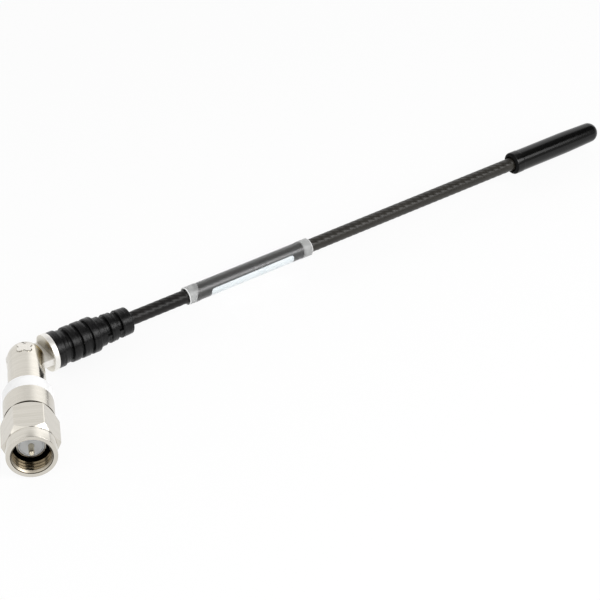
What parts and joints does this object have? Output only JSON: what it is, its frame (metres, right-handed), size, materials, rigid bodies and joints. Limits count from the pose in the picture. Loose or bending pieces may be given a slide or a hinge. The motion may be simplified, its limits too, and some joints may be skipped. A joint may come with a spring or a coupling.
{
  "type": "whip antenna",
  "caption": "Flexible whip antenna with a tilting coaxial plug: coupling nut, insulated hinge fork, ribbed boot, labelled whip and end cap.",
  "frame": {"origin": "centre of the plug's mating plane, where the outer conductor's front sleeve ends, on the plug's axis", "axes": "-Y out of the plug's mouth, +Z along the hinge axis and up as the antenna lies on a surface, +X to the side that the whip is folded to"},
  "size_m": [0.1112, 0.0815, 0.008],
  "materials": {
    "nickel": "bright nickel plate with fine turning marks",
    "contact_gilt": "thin gold plate",
    "spring_steel": "plain steel",
    "white_plastic": "satin",
    "dielectric_white": "waxy",
    "black_rubber": "matte, moulded rings",
    "gasket_rubber": "matte",
    "whip_jacket": "satin, strands showing through",
    "clear_sleeve": "clear, frosted at the ends",
    "label_white": "blank film",
    "cap_black": "gloss"
  },
  "bodies": {
    "plug": {"connector_body": "nickel", "contact_dielectric": "dielectric_white", "contact_pin": "contact_gilt", "retaining_ring": "spring_steel", "nut_gasket": "gasket_rubber", "insulator_ring": "white_plastic", "hinge_fork": "nickel", "hinge_rivet": "nickel"},
    "nut": {"coupling_nut": "nickel"},
    "whip": {"hinge_tongue": "nickel", "cable_core": "spring_steel", "cable_strand_1": "spring_steel", "cable_strand_2": "spring_steel", "cable_strand_3": "spring_steel", "cable_strand_4": "spring_steel", "cable_strand_5": "spring_steel", "cable_strand_6": "spring_steel", "whip_jacket": "whip_jacket", "strain_relief_boot": "black_rubber", "label_strip": "label_white", "label_sleeve": "clear_sleeve", "end_cap": "cap_black"}
  },
  "joints": [
    {"name": "nut_spin", "type": "hinge", "parent": "plug", "child": "nut", "pos_m": [0, 0, 0], "axis": [0, 1, 0], "continuous": true},
    {"name": "whip_tilt", "type": "hinge", "parent": "plug", "child": "whip", "pos_m": [0, 0.02128, 0], "axis": [0, 0, 1], "range_deg": [-28, 152]}
  ]
}
